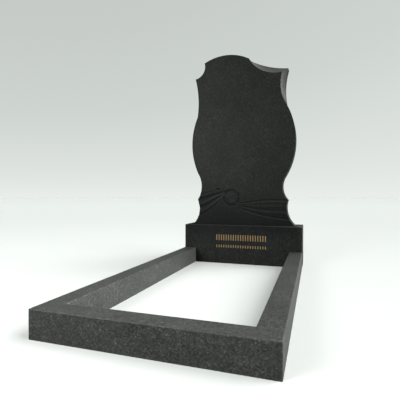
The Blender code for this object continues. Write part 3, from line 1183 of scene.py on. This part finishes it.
@dataclass
class Stonework:
    """The monument's blocks and their finishes: one granite, painted lighter on the kerb and darker on the
    plinth and the stele.
    """

    # the same granite as the plinth's and the stele's, painted lighter for the light the kerb gets
    lit_kerb_stone: Granite = Granite(ground=(0.041, 0.044, 0.041), dark_grain=(0.0287, 0.031, 0.029),
                                  light_grain=(0.0555, 0.0585, 0.0555), fleck=(0.087, 0.090, 0.085),
                                  honed=(0.088, 0.092, 0.088), gloss=0.20, lath_size=0.008, lath_light=0.6,
                                  wear_share=0.3, rain_and_top_light=0.0, seat_shade_reach=0.36, seat_shade_share=0.55)
    # the same granite, painted darker for the shade the plinth gets
    shaded_plinth_stone: Granite = Granite(ground=(0.0222, 0.0238, 0.0224), dark_grain=(0.0163, 0.0177, 0.0165),
                                    light_grain=(0.028, 0.030, 0.0283), fleck=(0.055, 0.057, 0.054),
                                    honed=(0.065, 0.068, 0.065), gloss=0.06, seat_shade_share=0.95)
    # the same granite, painted darker for the shade the stele gets
    shaded_stele_stone: Granite = Granite(ground=(0.0243, 0.0266, 0.0246), dark_grain=(0.0181, 0.0198, 0.0184),
                                   light_grain=(0.0305, 0.033, 0.0308), fleck=(0.046, 0.048, 0.045),
                                   honed=(0.073, 0.077, 0.073), lath_light=0.35, cluster_size=0.075,
                                   seat_shade_reach=0.25, side_shade=0.8)

    def dress_kerb(self) -> None:
        """Finish the three bars of the kerb."""
        for name in ("kerb_front", "kerb_left", "kerb_right"):
            self.dress_node(name, self.lit_kerb_stone)

    def dress_plinth(self) -> None:
        """Finish the plinth and paint its strokes."""
        self.dress_node("plinth", self.shaded_plinth_stone)
        for piece in StrokeRows(*corners("plinth")).build():
            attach(piece, BODY)
            report(piece)

    def raise_stele(self) -> None:
        """Carve the stele and finish it."""
        block = corners("stele")
        piece = CarvedStele(*block).build()
        finish = self.shaded_stele_stone.dress("stele_granite_polish", block, self.seat(), carved=True)
        piece.data.materials.append(finish)
        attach(piece, BODY)
        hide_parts("stele")
        report(piece)

    @staticmethod
    def seat() -> Corners:
        """Find the seat that the stele stands on, as the two corners of its foot."""
        low, high = corners("stele")
        return low, Vector((high.x, high.y, low.z))

    def dress_node(self, name: str, stone: Granite) -> None:
        """Give a block of the frame its finish.

        Args:
            name: The block's node.
            stone: Its finish.
        """
        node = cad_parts[name]
        node.data.materials.clear()
        node.data.materials.append(stone.dress(f"{name}_polish", corners(name), self.seat()))
        report(node)


@dataclass(frozen=True)
class FarLight:
    """A far, wide light that falls evenly on the whole studio."""

    name: str
    azimuth: float
    elevation: float
    spread: float
    strength: float
    shadow: bool = True

    def hang(self) -> None:
        """Hang the light, its azimuth counted from the right towards the back."""
        lamp = bpy.data.lights.new(self.name, "SUN")
        lamp.angle = math.radians(self.spread)
        lamp.energy = self.strength
        lamp.use_shadow = self.shadow
        turn, tilt = math.radians(self.azimuth), math.radians(self.elevation)
        way = Vector((math.cos(turn) * math.cos(tilt), math.sin(turn) * math.cos(tilt), math.sin(tilt)))
        hang_lamp(lamp, way, way)


@dataclass(frozen=True)
class Softbox:
    """A square soft light at a place of its own, which fades with distance."""

    name: str
    place: tuple[float, float, float]
    aim: tuple[float, float, float]
    size: float
    power: float

    def hang(self) -> None:
        """Hang the light and turn it to what it lights."""
        lamp = bpy.data.lights.new(self.name, "AREA")
        lamp.shape = "SQUARE"
        lamp.size = self.size
        lamp.energy = self.power
        hang_lamp(lamp, Vector(self.place), Vector(self.place) - Vector(self.aim))


def hang_lamp(lamp: bpy.types.Light, place: Vector, away: Vector) -> None:
    """Put a lamp in the scene.

    Args:
        lamp: The lamp.
        place: Where it hangs.
        away: The way from what it lights back to the lamp.
    """
    light = put_in_scene(lamp.name, lamp)
    light.location = place
    light.rotation_euler = away.to_track_quat("Z", "Y").to_euler()


@dataclass
class Studio:
    """A pale floor, a pale surround and soft lights.

    The floor and the surround are pale to the camera and greyer to the stone, which keeps its fronts dark.
    """

    floor_reach: float = 60.0
    floor_sides: int = 96
    floor_bounce: Colour = (0.18, 0.185, 0.18)
    # painted falloff of light: the floor's colour darkens with distance
    painted_floor_falloff: tuple[tuple[float, Colour], ...] = (
        (0.009, (0.545, 0.565, 0.55)), (0.023, (0.535, 0.56, 0.54)), (0.060, (0.515, 0.54, 0.52)),
        (0.20, (0.515, 0.542, 0.520)), (0.46, (0.498, 0.524, 0.503)), (1.0, (0.492, 0.518, 0.497)))
    surround: tuple[tuple[float, Colour], ...] = (
        (0.0, (0.81, 0.85, 0.82)), (0.045, (0.76, 0.80, 0.77)), (0.104, (0.715, 0.755, 0.725)),
        (0.27, (0.62, 0.66, 0.63)), (0.49, (0.57, 0.605, 0.58)), (1.0, (0.50, 0.53, 0.51)))
    surround_glow: float = 0.25
    lean: float = 0.68
    lean_from: float = 0.27
    lights: tuple[FarLight | Softbox, ...] = (
        FarLight("side_low", 15.0, 12.0, 40.0, 3.4, shadow=False),
        FarLight("side_mid", 15.0, 35.0, 65.0, 4.15),
        FarLight("side_fill", 15.0, 35.0, 65.0, 1.6, shadow=False),
        FarLight("overhead", 0.0, 90.0, 120.0, 0.6),
        Softbox("front_left", (-1.3, -2.4, 1.3), (0.0, -0.3, 0.1), 1.2, 42.0),
        Softbox("front_near", (-0.9, -1.5, 0.8), (-0.1, -0.6, 0.05), 0.8, 9.0),
    )
    lens: float = 30.86
    sensor: float = 36.0
    eye: tuple[float, float, float] = (0.35406, -1.26714, 0.34704)
    yaw: float = 18.425
    dip: float = 0.688

    def build(self) -> None:
        """Set up the floor, the surround, the lights and the camera."""
        self.lay_floor()
        self.wrap_surround()
        for light in self.lights:
            light.hang()
        self.set_camera()
        bpy.context.scene.view_settings.view_transform = "Standard"

    def lay_floor(self) -> None:
        """Lay a wide pale floor whose colour is painted darker with distance, a painted falloff of light."""
        shape = bmesh.new()
        bmesh.ops.create_circle(shape, cap_ends=True, radius=self.floor_reach, segments=self.floor_sides)
        mesh = bpy.data.meshes.new("floor")
        shape.to_mesh(mesh)
        shape.free()
        wiring = Surface("floor_paper")
        away = wiring.math("DIVIDE", wiring.vector("LENGTH", wiring.place), self.floor_reach)
        # painted falloff of light on the floor
        tone = wiring.ramp(away, self.painted_floor_falloff)
        seen = wiring.add("ShaderNodeLightPath").outputs["Is Camera Ray"]
        tone = wiring.blend(seen, (*self.floor_bounce, 1.0), tone)
        paper = wiring.add("ShaderNodeBsdfDiffuse", {"Color": tone})
        wiring.add("ShaderNodeOutputMaterial", {"Surface": paper.outputs[0]})
        mesh.materials.append(wiring.material)
        put_in_scene("floor", mesh)

    def wrap_surround(self) -> None:
        """Surround the scene with a pale grey that lightens towards the horizon and the right."""
        world = bpy.data.worlds.new("surround")
        world.use_nodes = True
        bpy.context.scene.world = world
        wiring = Wiring(world.node_tree)
        way = wiring.parts(wiring.add("ShaderNodeTexCoord").outputs["Generated"])
        leaning = wiring.math("MULTIPLY", wiring.math("ADD", way[0], self.lean_from), self.lean)
        tilt = wiring.math("SUBTRACT", 1.0, leaning)
        tone = wiring.ramp(wiring.math("MULTIPLY", way[2], tilt), self.surround)
        seen = wiring.add("ShaderNodeLightPath").outputs["Is Camera Ray"]
        glow = wiring.ease(seen, 0.0, 1.0, self.surround_glow, 1.0)
        light = wiring.add("ShaderNodeBackground", {"Color": tone, "Strength": glow})
        wiring.add("ShaderNodeOutputWorld", {"Surface": light.outputs[0]})

    def set_camera(self) -> None:
        """Stand the camera where the photograph was taken from."""
        view = bpy.data.cameras.new("camera")
        view.lens = self.lens
        view.sensor_width = self.sensor
        view.clip_end = 4 * self.floor_reach
        camera = put_in_scene("camera", view)
        camera.location = self.eye
        camera.rotation_euler = (math.radians(90.0 - self.dip), 0.0, math.radians(self.yaw))
        bpy.context.scene.camera = camera


def report(piece: bpy.types.Object) -> None:
    """Log a piece's name and how fine its mesh is."""
    log.info("%s: %d faces", piece.name, len(piece.data.polygons))


def main() -> None:
    """Build the studio and dress the monument from the ground up."""
    logging.basicConfig(level=logging.INFO, format="%(name)s %(message)s")
    Studio().build()
    stonework = Stonework()
    stonework.dress_kerb()
    stonework.dress_plinth()
    stonework.raise_stele()


if __name__ == "__main__":
    main()
